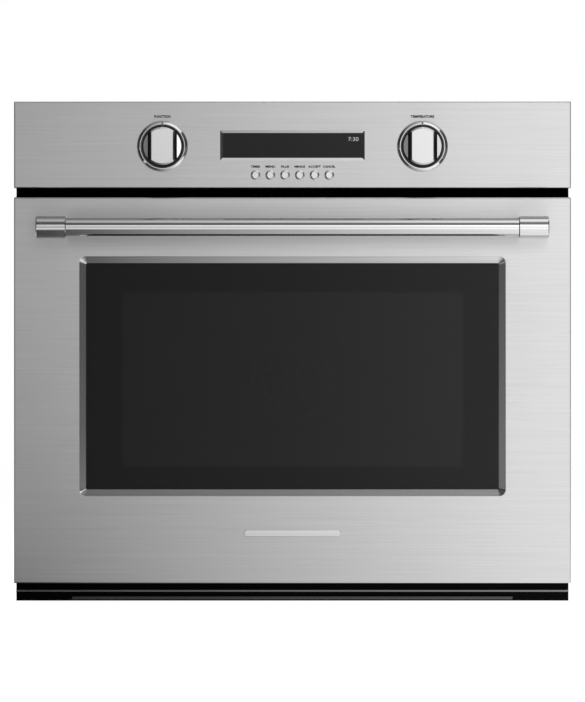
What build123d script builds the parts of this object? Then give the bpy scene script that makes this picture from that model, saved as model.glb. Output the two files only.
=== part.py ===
"""Built-in electric wall oven with a drop-down door, in millimetres.

X runs to the right, Y runs back into the cabinet and Z runs up. The origin is on the base,
in the plane of the cabinet's face, midway between the sides. Everything with Y below 0 stands
proud of the cabinet, and everything with Y above 0 slides into the cut-out.
"""

import os

from build123d import *

os.makedirs("parts", exist_ok=True)

# ---- driving dimensions ----
FRONT_WIDTH = 758.0  # door and control fascia
FRAME_WIDTH = 755.0  # black frame that overlaps the cabinet's face
OVERALL_HEIGHT = 681.0
CASE_WIDTH, CASE_HEIGHT, CASE_DEPTH = 714.0, 668.0, 545.0
SHEET = 1.2  # all folded sheet steel
FRAME_THICKNESS = 2.0
FRONT_Y = -50.0  # front faces of the door and the fascia
DOOR_BACK_Y = -9.0  # inner face of the door
DOOR_BOTTOM, DOOR_TOP = 25.5, 551.0
FASCIA_BOTTOM = 563.5
HINGE_Y, HINGE_Z, HINGE_X = -24.0, 40.0, 340.0
PIN_RADIUS = 3.0
RUNNING = 0.08  # radial clearance of a shaft in its bore

# cavity
CAVITY_WIDTH, CAVITY_HEIGHT, CAVITY_DEPTH = 600.0, 400.0, 470.0
CAVITY_Z = 300.0  # height of the cavity's middle
CAVITY_RADIUS = 6.0
FLOOR_Z, CEILING_Z = CAVITY_Z - CAVITY_HEIGHT / 2, CAVITY_Z + CAVITY_HEIGHT / 2
LAMP_Y, LAMP_Z = 130.0, 440.0
BROIL_Z, BAKE_Z = 478.0, 88.0
LEAD_X, LEAD_END_Y = 30.0, 515.0  # where the straight elements leave through the back
RING_RADIUS, RING_LEAD_X, RING_LEAD_Z = 100.0, 20.0, 202.0
BACK_FACE = CAVITY_DEPTH  # front face of the cavity's back plate
PROBE_X, PROBE_Z = -230.0, 440.0

# window in the door
WINDOW_Z = 307.0
BEVEL_OUTER_WIDTH, BEVEL_OUTER_HEIGHT, BEVEL_OUTER_RADIUS = 581.0, 327.0, 9.0
BEVEL_WIDTH, BEVEL_DEPTH = 9.3, 5.2
EDGE_RADIUS, TOP_EDGE_RADIUS = 1.6, 3.0  # front edges of the door and the fascia; the door's top edge

# handle
HANDLE_Z, HANDLE_Y, BAR_RADIUS = 509.1, -105.0, 12.2
BRACKET_RADIUS, BRACKET_INNER_X, BRACKET_OUTER_X = 14.7, 306.6, 347.4
SOCKET_DEPTH = 14.0

# controls
DIAL_X, DIAL_Z, DIAL_RADIUS = 177.0, 620.0, 25.75
DIAL_FACE_Y = -74.0
RING_OUTER, RING_LIP, RING_INNER, RING_FACE_Y = 34.5, 30.8, 28.8, -54.5
DISPLAY_Z, DISPLAY_WIDTH, DISPLAY_HEIGHT, BEZEL_LIP = 621.3, 190.3, 34.0, 1.2
BUTTON_PITCH, BUTTON_Z, BUTTON_RADIUS, BUTTON_HOLE = 20.06, 580.9, 6.6, 7.0
BUTTONS = ["timer", "menu", "plus", "minus", "accept", "cancel"]

# wire shelves and their slides
RUNG_LEVELS = [130.0 + 50.0 * i for i in range(7)]
SHELF_FRONT_Y, SHELF_BACK_Y = 22.0, 425.0
WIRE, THIN_WIRE = 2.5, 1.5
RAIL_FRONT_Y, RAIL_BACK_Y = 28.0, 423.0
RAIL_LOW, RAIL_HIGH = 170.0, 196.0

# latch
LATCH_PIVOT_X, LATCH_PIVOT_Y, LATCH_Z = 5.0, 35.0, 535.0

# cooling blower
BLOWER_Y, BLOWER_RADIUS, BLOWER_LOW, BLOWER_HIGH = 310.0, 85.0, 550.0, 602.0
DUCT_HALF_WIDTH, DUCT_HIGH = 150.0, 566.0

# junction box on the back
JUNCTION_X, JUNCTION_LOW, JUNCTION_HIGH, JUNCTION_BACK = -250.0, 570.0, 640.0, 580.0
GLAND_Y, GLAND_BORE = 562.5, 8.0

SCREW_X = 350.0
REAR_SCREW_Z = [60.0 + 140.0 * i for i in range(5)]
TOP_SCREW_Y = [60.0 + 140.0 * i for i in range(4)]
SCREW_HOLE, SCREW_SHANK = 2.1, 1.9


# ---- helpers ----
def front_plane(y):
    """A plane facing the viewer at depth y: sketch X is X, sketch Y is Z, extrusion runs forward."""
    return Plane.XZ.offset(-y)


def block(x, y, z, mode=Mode.ADD):
    """A box between the given low and high values, made in the open builder."""
    with Locations(((x[0] + x[1]) / 2, (y[0] + y[1]) / 2, (z[0] + z[1]) / 2)):
        Box(x[1] - x[0], y[1] - y[0], z[1] - z[0], mode=mode)


def rod(start, axis, length, radius, mode=Mode.ADD):
    """A cylinder from start along "X", "Y" or "Z", made in the open builder."""
    turn = {"X": (0, 90, 0), "Y": (-90, 0, 0), "Z": (0, 0, 0)}[axis]
    with Locations(Location(start, turn)):
        Cylinder(radius, length, align=(Align.CENTER, Align.CENTER, Align.MIN), mode=mode)


def save(builder, name):
    """Labels a finished piece and writes it as parts/NAME.step."""
    builder.part.label = name
    export_step(builder.part, f"parts/{name}.step")


# ---- outer casing ----
half_case = CASE_WIDTH / 2
cover_z = CASE_HEIGHT - SHEET
rear_y = CASE_DEPTH - SHEET
FLANGE = 14.0

with BuildPart() as base_pan:
    block((-half_case, half_case), (0, CASE_DEPTH), (0, SHEET))
    with Locations((0, 120, SHEET / 2), (0, 430, SHEET / 2)):
        with GridLocations(70, 24, 7, 2):
            Box(44, 6, 2 * SHEET, mode=Mode.SUBTRACT)
save(base_pan, "base_pan")

with BuildPart() as side_panels:
    for side in (-1, 1):
        outer, inner, lip = side * half_case, side * (half_case - SHEET), side * (half_case - FLANGE)
        block(sorted((inner, outer)), (0, rear_y), (SHEET, cover_z))
        block(sorted((lip, inner)), (0, rear_y), (SHEET, 2 * SHEET))
        block(sorted((lip, inner)), (0, rear_y), (cover_z - SHEET, cover_z))
        block(sorted((lip, inner)), (rear_y - SHEET, rear_y), (2 * SHEET, cover_z - SHEET))
        with Locations((outer, 430, 595), (outer, 160, 45)):
            with GridLocations(0, 14, 1, 8):
                Box(4 * SHEET, 5, 50, mode=Mode.SUBTRACT)
        for z in REAR_SCREW_Z:
            rod((side * SCREW_X, rear_y - 2 * SHEET, z), "Y", 4 * SHEET, SCREW_HOLE, Mode.SUBTRACT)
        for y in TOP_SCREW_Y:
            rod((side * SCREW_X, y, cover_z - 2 * SHEET), "Z", 4 * SHEET, SCREW_HOLE, Mode.SUBTRACT)
save(side_panels, "side_panels")

with BuildPart() as rear_panel:
    block((-half_case, half_case), (rear_y, CASE_DEPTH), (SHEET, cover_z))
    with BuildSketch(front_plane(CASE_DEPTH + 1)):
        with Locations((0, CAVITY_Z)):
            with PolarLocations(48, 18):
                SlotOverall(36, 6)
        with Locations((60, 590)):
            with GridLocations(14, 0, 18, 1):
                SlotOverall(50, 5, rotation=90)
        with Locations((JUNCTION_X, 600)):
            Circle(9)
        with Locations((0, 60)):
            with GridLocations(60, 20, 9, 2):
                SlotOverall(40, 6)
    extrude(amount=3 * SHEET, mode=Mode.SUBTRACT)
    for x in (-SCREW_X, SCREW_X):
        for z in REAR_SCREW_Z:
            rod((x, rear_y - SHEET, z), "Y", 4 * SHEET, SCREW_HOLE, Mode.SUBTRACT)
save(rear_panel, "rear_panel")

with BuildPart() as top_cover:
    block((-half_case, half_case), (0, CASE_DEPTH), (cover_z, CASE_HEIGHT))
    with Locations((0, 420, CASE_HEIGHT)):
        with GridLocations(16, 0, 24, 1):
            Box(6, 60, 4 * SHEET, mode=Mode.SUBTRACT)
    for x in (-SCREW_X, SCREW_X):
        for y in TOP_SCREW_Y:
            rod((x, y, cover_z - SHEET), "Z", 4 * SHEET, SCREW_HOLE, Mode.SUBTRACT)
save(top_cover, "top_cover")

with BuildPart() as casing_screws:
    for x in (-SCREW_X, SCREW_X):
        for z in REAR_SCREW_Z:
            rod((x, CASE_DEPTH - 5, z), "Y", 5, SCREW_SHANK)
            rod((x, CASE_DEPTH, z), "Y", 2.2, 4.0)
        for y in TOP_SCREW_Y:
            rod((x, y, CASE_HEIGHT - 5), "Z", 5, SCREW_SHANK)
            rod((x, y, CASE_HEIGHT), "Z", 2.2, 4.0)
    chamfer(casing_screws.edges().filter_by(GeomType.CIRCLE).group_by(SortBy.RADIUS)[-1].filter_by(
        lambda e: e.center().Y > CASE_DEPTH + 1 or e.center().Z > CASE_HEIGHT + 1), 0.9)
save(casing_screws, "casing_screws")

# ---- front frame and the trim under the door ----
LATCH_SLOT_X, WIRING_Z = 17.0, 621.0
CABINET_SCREW_X, CABINET_SCREW_Z = 367.0, (120.0, 500.0)

with BuildPart() as front_frame:
    with BuildSketch(front_plane(0)):
        with Locations((0, OVERALL_HEIGHT / 2)):
            Rectangle(FRAME_WIDTH, OVERALL_HEIGHT)
        with Locations((0, CAVITY_Z)):
            RectangleRounded(CAVITY_WIDTH, CAVITY_HEIGHT, CAVITY_RADIUS, mode=Mode.SUBTRACT)
        with Locations((-HINGE_X, 43), (HINGE_X, 43)):
            Rectangle(8, 14, mode=Mode.SUBTRACT)
        with Locations((0, LATCH_Z)):
            Rectangle(2 * LATCH_SLOT_X, 8, mode=Mode.SUBTRACT)
        with Locations((0, 557)):
            Rectangle(2 * DUCT_HALF_WIDTH - 6, 7, mode=Mode.SUBTRACT)
        with Locations((0, WIRING_Z)):
            RectangleRounded(660, 72, 8, mode=Mode.SUBTRACT)
        with Locations(*[(x, z) for x in (-CABINET_SCREW_X, CABINET_SCREW_X) for z in CABINET_SCREW_Z]):
            Circle(2.5, mode=Mode.SUBTRACT)
    extrude(amount=FRAME_THICKNESS)
save(front_frame, "front_frame")

TRIM_FACE_Y = -8.0  # the open door's lower edge swings past just in front of this
TRIM_LIP_Z, TRIM_FIN_Z, TRIM_FIN_X = (12.2, 14.9), (1.8, 5.6), 301.0

with BuildPart() as lower_vent_trim:
    half_frame = FRAME_WIDTH / 2
    block((-half_frame, half_frame), (-3.5, -FRAME_THICKNESS), (0.4, 25))
    block((-half_frame, half_frame), (TRIM_FACE_Y, -3.5), TRIM_LIP_Z)
    lip_edges = lower_vent_trim.faces().sort_by(Axis.Y)[0].edges().filter_by(Axis.X)
    chamfer(lip_edges, 0.4)
    block((-TRIM_FIN_X, TRIM_FIN_X), (TRIM_FACE_Y + 1, -3.5), TRIM_FIN_Z)
    block((-half_frame, half_frame), (-5.5, -3.5), (0.4, 1.4))
save(lower_vent_trim, "lower_vent_trim")

# ---- cavity ----
outer_width, outer_height = CAVITY_WIDTH + 2 * SHEET, CAVITY_HEIGHT + 2 * SHEET
LAMP_HOLE, LEAD_HOLE = 24.0, 5.0
back_holes = [
    (-LEAD_X, BROIL_Z), (LEAD_X, BROIL_Z), (-RING_LEAD_X, RING_LEAD_Z), (RING_LEAD_X, RING_LEAD_Z),
]

with BuildPart() as cavity_wrapper:
    with BuildSketch(front_plane(CAVITY_DEPTH)):
        with Locations((0, CAVITY_Z)):
            RectangleRounded(outer_width, outer_height, CAVITY_RADIUS + SHEET)
            RectangleRounded(CAVITY_WIDTH, CAVITY_HEIGHT, CAVITY_RADIUS, mode=Mode.SUBTRACT)
    extrude(amount=CAVITY_DEPTH)
    rod((-CAVITY_WIDTH, LAMP_Y, LAMP_Z), "X", 2 * CAVITY_WIDTH, LAMP_HOLE, Mode.SUBTRACT)
save(cavity_wrapper, "cavity_wrapper")

with BuildPart() as cavity_back:
    with BuildSketch(front_plane(BACK_FACE + SHEET)):
        with Locations((0, CAVITY_Z)):
            RectangleRounded(outer_width, outer_height, CAVITY_RADIUS + SHEET)
            Circle(8, mode=Mode.SUBTRACT)
        with Locations(*back_holes):
            Circle(LEAD_HOLE, mode=Mode.SUBTRACT)
        with Locations((PROBE_X, PROBE_Z)):
            Circle(3, mode=Mode.SUBTRACT)
    extrude(amount=SHEET)
save(cavity_back, "cavity_back")

with BuildPart() as insulation_wrap:
    block((-329, 329), (1, 500), (55, 528))
    block((-302.5, 302.5), (0, 472), (80, 502.5), Mode.SUBTRACT)
    rod((-400, LAMP_Y, LAMP_Z), "X", 800, 28, Mode.SUBTRACT)
    rod((0, 450, CAVITY_Z), "Y", 60, 14, Mode.SUBTRACT)
    rod((PROBE_X, 450, PROBE_Z), "Y", 60, 5, Mode.SUBTRACT)
    for x, z in [*back_holes, (-LEAD_X, BAKE_Z), (LEAD_X, BAKE_Z)]:
        rod((x, 450, z), "Y", 60, 7, Mode.SUBTRACT)
save(insulation_wrap, "insulation_wrap")

GASKET_RADIUS = 3.3
with BuildPart() as door_gasket:
    with BuildLine(front_plane(-5.5)):
        x, low, high = CAVITY_WIDTH / 2 + 10, FLOOR_Z - 10, CEILING_Z + 10
        gasket_path = FilletPolyline((-x, low), (x, low), (x, high), (-x, high), radius=25, close=True)
    with BuildSketch(Plane(origin=gasket_path @ 0, z_dir=gasket_path % 0)):
        Circle(GASKET_RADIUS)
    sweep()
save(door_gasket, "door_gasket")

# ---- heating elements ----


def element_points(front_y):
    """The plan of a looped element, starting and ending at the back plate."""
    right = [
        (75, front_y), (75, 330), (150, 330), (150, front_y), (230, front_y), (230, 400),
        (LEAD_X, 400), (LEAD_X, LEAD_END_Y),
    ]
    left = [(-x, y) for x, y in reversed(right)]
    return left + right


def looped_element(z, radius, hanger_top):
    """A tubular element bent into loops in the plane at height z, with hangers where asked."""
    with BuildPart() as element:
        with BuildLine(Plane.XY.offset(z)):
            route = FilletPolyline(*element_points(60), radius=22)
        with BuildSketch(Plane(origin=route @ 0, z_dir=route % 0)):
            Circle(radius)
        sweep()
        if hanger_top:
            for hanger_x in (-230, -75, 75, 230):
                block((hanger_x - 5, hanger_x + 5), (229, 231), (z, hanger_top))
    return element


broil_element = looped_element(BROIL_Z, 4.0, CEILING_Z)
save(broil_element, "broil_element")
bake_element = looped_element(BAKE_Z, 3.5, None)
save(bake_element, "bake_element")

with BuildPart() as convection_element:
    with Locations(Location((0, 452, CAVITY_Z), (90, 0, 0))):
        Torus(RING_RADIUS, 4)
    for x in (-RING_LEAD_X, RING_LEAD_X):
        rod((x, 452, RING_LEAD_Z), "Y", LEAD_END_Y - 452, 4)
save(convection_element, "convection_element")

# ---- fan at the back of the cavity ----
BAFFLE_HALF_WIDTH, BAFFLE_LOW, BAFFLE_HIGH, BAFFLE_Y = 190.0, 130.0, 468.0, 432.0

with BuildPart() as fan_baffle:
    block((-BAFFLE_HALF_WIDTH, BAFFLE_HALF_WIDTH), (BAFFLE_Y, BACK_FACE), (BAFFLE_LOW, BAFFLE_HIGH))
    fillet(fan_baffle.edges().filter_by(Axis.Y), 18)
    fillet(fan_baffle.faces().sort_by(Axis.Y)[0].edges(), 6)
    offset(amount=-SHEET, openings=fan_baffle.faces().sort_by(Axis.Y)[-1])
    with BuildSketch(front_plane(BAFFLE_Y + 3)):
        with Locations((0, CAVITY_Z)):
            Circle(4.5)
            for ring in range(1, 5):
                with PolarLocations(14 * ring, 6 * ring):
                    Circle(4.5)
    extrude(amount=6, mode=Mode.SUBTRACT)
    for z in range(-3, 4):
        block((-250, 250), (445, 462), (CAVITY_Z + 40 * z - 14, CAVITY_Z + 40 * z + 14), Mode.SUBTRACT)
save(fan_baffle, "fan_baffle")

with BuildPart() as convection_fan:
    rod((0, 444, CAVITY_Z), "Y", 18, 10)
    rod((0, 462, CAVITY_Z), "Y", 1.2, 72)
    with Locations(Location((0, 452, CAVITY_Z), (-90, 0, 0))):
        with PolarLocations(0, 12):
            with Locations((44, 0, 0)):
                Box(56, 1.2, 20.1)
    rod((0, 462, CAVITY_Z), "Y", 52, 4)
save(convection_fan, "convection_fan")

with BuildPart() as convection_motor:
    rod((0, 500.2, CAVITY_Z), "Y", 36, 38)
    fillet(convection_motor.edges().sort_by(Axis.Y)[-1], 4)
    block((-75, 75), (500.2, 502), (CAVITY_Z - 9, CAVITY_Z + 9))
    rod((0, 500, CAVITY_Z), "Y", 16, 4 + RUNNING, Mode.SUBTRACT)
save(convection_motor, "convection_motor")

# ---- lamps and temperature probe ----
cavity_side = CAVITY_WIDTH / 2

with BuildPart() as lamp_housings:
    for side in (-1, 1):
        flange, cup, end = (side * (cavity_side + x) for x in (SHEET, 2.4, 40))
        for low, high, radius in ((flange, cup, 32), (cup, end, LAMP_HOLE)):
            rod((min(low, high), LAMP_Y, LAMP_Z), "X", abs(high - low), radius)
        inner = end - side * SHEET
        rod((min(flange, inner), LAMP_Y, LAMP_Z), "X", abs(inner - flange), LAMP_HOLE - SHEET, Mode.SUBTRACT)
save(lamp_housings, "lamp_housings")

with BuildPart() as lamp_bulbs:
    for side in (-1, 1):
        low, high = sorted((side * 338.6, side * 326))
        rod((low, LAMP_Y, LAMP_Z), "X", high - low, 8)
        low, high = sorted((side * 326, side * 312))
        rod((low, LAMP_Y, LAMP_Z), "X", high - low, 5.5)
        with Locations((side * 312, LAMP_Y, LAMP_Z)):
            Sphere(5.5)
save(lamp_bulbs, "lamp_bulbs")

with BuildPart() as lamp_lenses:
    for side in (-1, 1):
        low, high = sorted((side * 295.4, side * (cavity_side + 1)))
        rod((low, LAMP_Y, LAMP_Z), "X", high - low, LAMP_HOLE - 0.6)
    fillet(lamp_lenses.edges().filter_by(lambda e: abs(e.center().X) < 296), 2.5)
save(lamp_lenses, "lamp_lenses")

with BuildPart() as temperature_probe:
    rod((PROBE_X, 398, PROBE_Z), "Y", 92, 2.4)
    rod((PROBE_X, BACK_FACE - 1.6, PROBE_Z), "Y", 1.6, 9)
    with Locations((PROBE_X, 398, PROBE_Z)):
        Sphere(2.4)
save(temperature_probe, "temperature_probe")

# ---- ladder racks, wire shelves and slides ----
LADDER_X, UPRIGHT_X = 286.0, 290.4

with BuildPart() as side_racks:
    for side in (-1, 1):
        for y in (40, 232, 424):
            rod((side * UPRIGHT_X, y, 112), "Z", 326, WIRE)
            with Locations((side * UPRIGHT_X, y, 112), (side * UPRIGHT_X, y, 438)):
                Sphere(WIRE)
        for z in RUNG_LEVELS[:-1]:
            rod((side * LADDER_X, 30, z), "Y", 400, WIRE)
            with Locations((side * LADDER_X, 30, z), (side * LADDER_X, 430, z)):
                Sphere(WIRE)
save(side_racks, "side_racks")


def wire_shelf(half_width, z):
    """A welded wire shelf whose frame wire has its centre at height z."""
    front, back = SHELF_FRONT_Y, SHELF_BACK_Y
    with BuildPart() as shelf:
        with BuildLine(Plane.XY.offset(z)):
            loop = FilletPolyline((-half_width, front), (half_width, front), (half_width, back),
                                  (-half_width, back), radius=14, close=True)
        with BuildSketch(Plane(origin=loop @ 0, z_dir=loop % 0)):
            Circle(WIRE)
        sweep()
        for y in (front + 130, back - 130):
            rod((-half_width, y, z), "X", 2 * half_width, WIRE - 0.5)
        pitch = (2 * half_width - 30) / 20
        for i in range(21):
            rod((-half_width + 15 + i * pitch, front, z + WIRE + THIN_WIRE - 0.8), "Y",
                back - front, THIN_WIRE)
        stop = half_width - 24
        rod((-stop, back, z + 20), "X", 2 * stop, WIRE)
        for x in (-stop, 0, stop):
            rod((x, back, z), "Z", 20, WIRE)
        with Locations((-stop, back, z + 20), (stop, back, z + 20)):
            Sphere(WIRE)
    return shelf


UPPER_SHELF_Z = RUNG_LEVELS[4] + 2 * WIRE + 0.3
upper_shelf = wire_shelf(LADDER_X - 1.5, UPPER_SHELF_Z)
save(upper_shelf, "upper_shelf")

INNER_RAIL_X = 270.0
LOWER_SHELF_Z = RAIL_HIGH + 1.2 + WIRE
lower_shelf = wire_shelf(INNER_RAIL_X - 4, LOWER_SHELF_Z)
save(lower_shelf, "lower_shelf")


def rail_pair(sections):
    """Left and right rails made of boxes given as (x, z, mode) on the right-hand side."""
    with BuildPart() as rails:
        for side in (-1, 1):
            for x, z, mode in sections:
                block(sorted((side * x[0], side * x[1])), (RAIL_FRONT_Y, RAIL_BACK_Y), z, mode)
    return rails


WALL, SLIDE_GAP = 1.2, 0.6
outer_x, middle_x = 283.2, 283.2 - WALL - SLIDE_GAP
inner_x = middle_x - WALL - SLIDE_GAP
middle_low, middle_high = RAIL_LOW + WALL + SLIDE_GAP, RAIL_HIGH - WALL - SLIDE_GAP
inner_low, inner_high = middle_low + WALL + SLIDE_GAP, middle_high - WALL - SLIDE_GAP

slide_outer_rails = rail_pair([
    ((outer_x - WALL, outer_x), (RAIL_LOW, RAIL_HIGH), Mode.ADD),
    ((276, outer_x - WALL), (RAIL_LOW, RAIL_LOW + WALL), Mode.ADD),
    ((276, outer_x - WALL), (RAIL_HIGH - WALL, RAIL_HIGH), Mode.ADD),
])
save(slide_outer_rails, "slide_outer_rails")

slide_middle_rails = rail_pair([
    ((middle_x - WALL, middle_x), (middle_low, middle_high), Mode.ADD),
    ((274, middle_x - WALL), (middle_low, middle_low + WALL), Mode.ADD),
    ((274, middle_x - WALL), (middle_high - WALL, middle_high), Mode.ADD),
])
save(slide_middle_rails, "slide_middle_rails")

slide_inner_rails = rail_pair([
    ((INNER_RAIL_X + 1, inner_x), (inner_low, inner_low + WALL), Mode.ADD),
    ((INNER_RAIL_X + 1, inner_x), (inner_high - WALL, inner_high), Mode.ADD),
    ((inner_x - WALL, inner_x), (inner_low + WALL, inner_high - WALL), Mode.ADD),
    ((INNER_RAIL_X - 0.2, INNER_RAIL_X + 1), (inner_low, RAIL_HIGH + 1.2), Mode.ADD),
    ((INNER_RAIL_X - 12, INNER_RAIL_X - 0.2), (RAIL_HIGH, RAIL_HIGH + 1.2), Mode.ADD),
])
save(slide_inner_rails, "slide_inner_rails")

# ---- cooling blower above the cavity ----
with BuildPart() as blower_housing:
    rod((0, BLOWER_Y, BLOWER_LOW), "Z", BLOWER_HIGH - BLOWER_LOW, BLOWER_RADIUS)
    block((-DUCT_HALF_WIDTH, DUCT_HALF_WIDTH), (0.4, 260), (BLOWER_LOW, DUCT_HIGH))
    rod((0, BLOWER_Y, BLOWER_LOW + SHEET), "Z", BLOWER_HIGH - BLOWER_LOW - 2 * SHEET,
        BLOWER_RADIUS - SHEET, Mode.SUBTRACT)
    block((SHEET - DUCT_HALF_WIDTH, DUCT_HALF_WIDTH - SHEET), (0, 260 - SHEET),
          (BLOWER_LOW + SHEET, DUCT_HIGH - SHEET), Mode.SUBTRACT)
    rod((0, BLOWER_Y, BLOWER_LOW - 1), "Z", 4, 50, Mode.SUBTRACT)
    rod((0, BLOWER_Y, BLOWER_HIGH - 3), "Z", 4, 8, Mode.SUBTRACT)
save(blower_housing, "blower_housing")

WHEEL_RADIUS, SPINDLE = 68.0, 3.0
with BuildPart() as blower_wheel:
    rod((0, BLOWER_Y, 592), "Z", 1.5, WHEEL_RADIUS)
    rod((0, BLOWER_Y, 582), "Z", 12, 10)
    rod((0, BLOWER_Y, 592), "Z", 30, SPINDLE)
    with Locations((0, BLOWER_Y, 556)):
        Cylinder(WHEEL_RADIUS, 1.5)
        Cylinder(WHEEL_RADIUS - 12, 1.5, mode=Mode.SUBTRACT)
    with Locations((0, BLOWER_Y, 574.3)):
        with PolarLocations(WHEEL_RADIUS - 6, 24):
            with Locations(Location((0, 0, 0), (0, 0, 35))):
                Box(10, 1, 36)
save(blower_wheel, "blower_wheel")

with BuildPart() as blower_motor:
    rod((0, BLOWER_Y, BLOWER_HIGH + 1.5), "Z", 36, 34)
    fillet(blower_motor.edges().sort_by(Axis.Z)[-1], 4)
    block((-60, 60), (BLOWER_Y - 9, BLOWER_Y + 9), (BLOWER_HIGH, BLOWER_HIGH + 1.5))
    rod((0, BLOWER_Y, BLOWER_HIGH), "Z", 1.5, 8, Mode.SUBTRACT)
    rod((0, BLOWER_Y, BLOWER_HIGH), "Z", 24, SPINDLE + RUNNING, Mode.SUBTRACT)
save(blower_motor, "blower_motor")

# ---- door latch ----
with BuildPart() as latch_motor:
    block((-40, 40), (2, 90), (529, 530.2))
    rod((LATCH_PIVOT_X, LATCH_PIVOT_Y, 530.2), "Z", 10, PIN_RADIUS)
    rod((-12, 68, 530.2), "Z", 16, 20)
save(latch_motor, "latch_motor")

with BuildPart() as latch_hook:
    rod((LATCH_PIVOT_X, LATCH_PIVOT_Y, LATCH_Z - 1.5), "Z", 3, 7)
    block((2, 8), (-20, LATCH_PIVOT_Y), (LATCH_Z - 1.5, LATCH_Z + 1.5))
    block((-6, 8), (-24, -18), (LATCH_Z - 1.5, LATCH_Z + 1.5))
    rod((LATCH_PIVOT_X, LATCH_PIVOT_Y, LATCH_Z - 2), "Z", 4, PIN_RADIUS + RUNNING, Mode.SUBTRACT)
save(latch_hook, "latch_hook")

# ---- junction box and cable inlet on the back ----
with BuildPart() as junction_box:
    x_low, x_high = JUNCTION_X - 50, JUNCTION_X + 50
    block((x_low, x_high), (CASE_DEPTH, JUNCTION_BACK), (JUNCTION_LOW, JUNCTION_HIGH))
    fillet(junction_box.faces().sort_by(Axis.Y)[-1].edges(), 2)
    block((x_low + SHEET, x_high - SHEET), (CASE_DEPTH, JUNCTION_BACK - SHEET),
          (JUNCTION_LOW + SHEET, JUNCTION_HIGH - SHEET), Mode.SUBTRACT)
    rod((JUNCTION_X, GLAND_Y, JUNCTION_HIGH - 3), "Z", 6, 11, Mode.SUBTRACT)
save(junction_box, "junction_box")

with BuildPart() as conduit_gland:
    rod((JUNCTION_X, GLAND_Y, 632), "Z", 32, 10.8)
    with BuildSketch(Plane.XY.offset(JUNCTION_HIGH)):
        with Locations((JUNCTION_X, GLAND_Y)):
            RegularPolygon(15, 6)
    extrude(amount=8)
    with BuildSketch(Plane.XY.offset(633.5)):
        with Locations((JUNCTION_X, GLAND_Y)):
            RegularPolygon(14.5, 6)
    extrude(amount=5)
    rod((JUNCTION_X, GLAND_Y, 654), "Z", 10, 12.5)
    rod((JUNCTION_X, GLAND_Y, 631), "Z", 34, GLAND_BORE, Mode.SUBTRACT)
save(conduit_gland, "conduit_gland")

# ---- hinges ----
with BuildPart() as hinge_receivers:
    for side in (-1, 1):
        block(sorted((side * 333, side * 347)), (0.2, 70), (24, 56))
        block(sorted((side * 334.5, side * 345.5)), (0, 68.5), (25.5, 54.5), Mode.SUBTRACT)
save(hinge_receivers, "hinge_receivers")

with BuildPart() as hinge_claws:
    for x in (-HINGE_X, HINGE_X):
        with BuildSketch(Plane.YZ.offset(x - 2)):
            with Locations((19, HINGE_Z)):
                Rectangle(86, 14)
            with Locations((HINGE_Y, HINGE_Z)):
                Circle(8.5)
            with Locations((-1, 34.5)):
                Rectangle(5, 5, mode=Mode.SUBTRACT)
            with Locations((HINGE_Y, HINGE_Z)):
                Circle(PIN_RADIUS + RUNNING, mode=Mode.SUBTRACT)
        extrude(amount=4)
save(hinge_claws, "hinge_claws")

CHANNEL_TOP = 270.0
with BuildPart() as hinge_channels:
    for side in (-1, 1):
        block(sorted((side * 332, side * 348)), (-44, -14), (29.4, CHANNEL_TOP))
        block(sorted((side * 333.5, side * 346.5)), (-42.5, -14), (29.4, CHANNEL_TOP), Mode.SUBTRACT)
        rod((side * HINGE_X - 8, HINGE_Y, HINGE_Z), "X", 16, PIN_RADIUS)
save(hinge_channels, "hinge_channels")

# ---- door ----
half_front = FRONT_WIDTH / 2
claw_notch = ((HINGE_X - 5, HINGE_X + 5), (-35, -8), (20, 52))

with BuildPart() as door_skin:
    block((-half_front, half_front), (FRONT_Y, -12), (DOOR_BOTTOM, DOOR_TOP))
    front_edges = door_skin.faces().sort_by(Axis.Y)[0].edges().sort_by(Axis.Z)
    fillet(front_edges[-1], TOP_EDGE_RADIUS)
    front_edges = door_skin.faces().filter_by(Plane.XZ).sort_by(Axis.Y)[0].edges().sort_by(Axis.Z)
    fillet(front_edges[:3], EDGE_RADIUS)
    block((SHEET - half_front, half_front - SHEET), (FRONT_Y + SHEET, -12),
          (DOOR_BOTTOM + SHEET, DOOR_TOP - SHEET), Mode.SUBTRACT)
    block((-294, 294), (FRONT_Y + SHEET, FRONT_Y + BEVEL_DEPTH), (WINDOW_Z - 167, WINDOW_Z + 167))
    with BuildSketch(front_plane(FRONT_Y)):
        with Locations((0, WINDOW_Z)):
            RectangleRounded(BEVEL_OUTER_WIDTH, BEVEL_OUTER_HEIGHT, BEVEL_OUTER_RADIUS)
    with BuildSketch(front_plane(FRONT_Y + BEVEL_DEPTH)):
        with Locations((0, WINDOW_Z)):
            RectangleRounded(BEVEL_OUTER_WIDTH - 2 * BEVEL_WIDTH, BEVEL_OUTER_HEIGHT - 2 * BEVEL_WIDTH, 2)
    loft(mode=Mode.SUBTRACT)
    with Locations((0, -26, DOOR_TOP)):
        with GridLocations(56, 0, 11, 1):
            Box(40, 6, 4 * SHEET, mode=Mode.SUBTRACT)
    for side in (-1, 1):
        block(sorted(side * x for x in claw_notch[0]), claw_notch[1], claw_notch[2], Mode.SUBTRACT)
save(door_skin, "door_skin")

GLASS_Y = FRONT_Y + BEVEL_DEPTH + 0.2
with BuildPart() as outer_glass:
    with Locations((0, GLASS_Y + 2, WINDOW_Z)):
        Box(584, 4, 330)
save(outer_glass, "outer_glass")

with BuildPart() as glass_frame:
    block((-288, 288), (-40.4, -14.6), (WINDOW_Z - 161, WINDOW_Z + 161))
    block((-276, 276), (-41, -14), (WINDOW_Z - 149, WINDOW_Z + 149), Mode.SUBTRACT)
    block((-282, 282), (-28.4, -23.6), (WINDOW_Z - 155, WINDOW_Z + 155), Mode.SUBTRACT)
save(glass_frame, "glass_frame")

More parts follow.
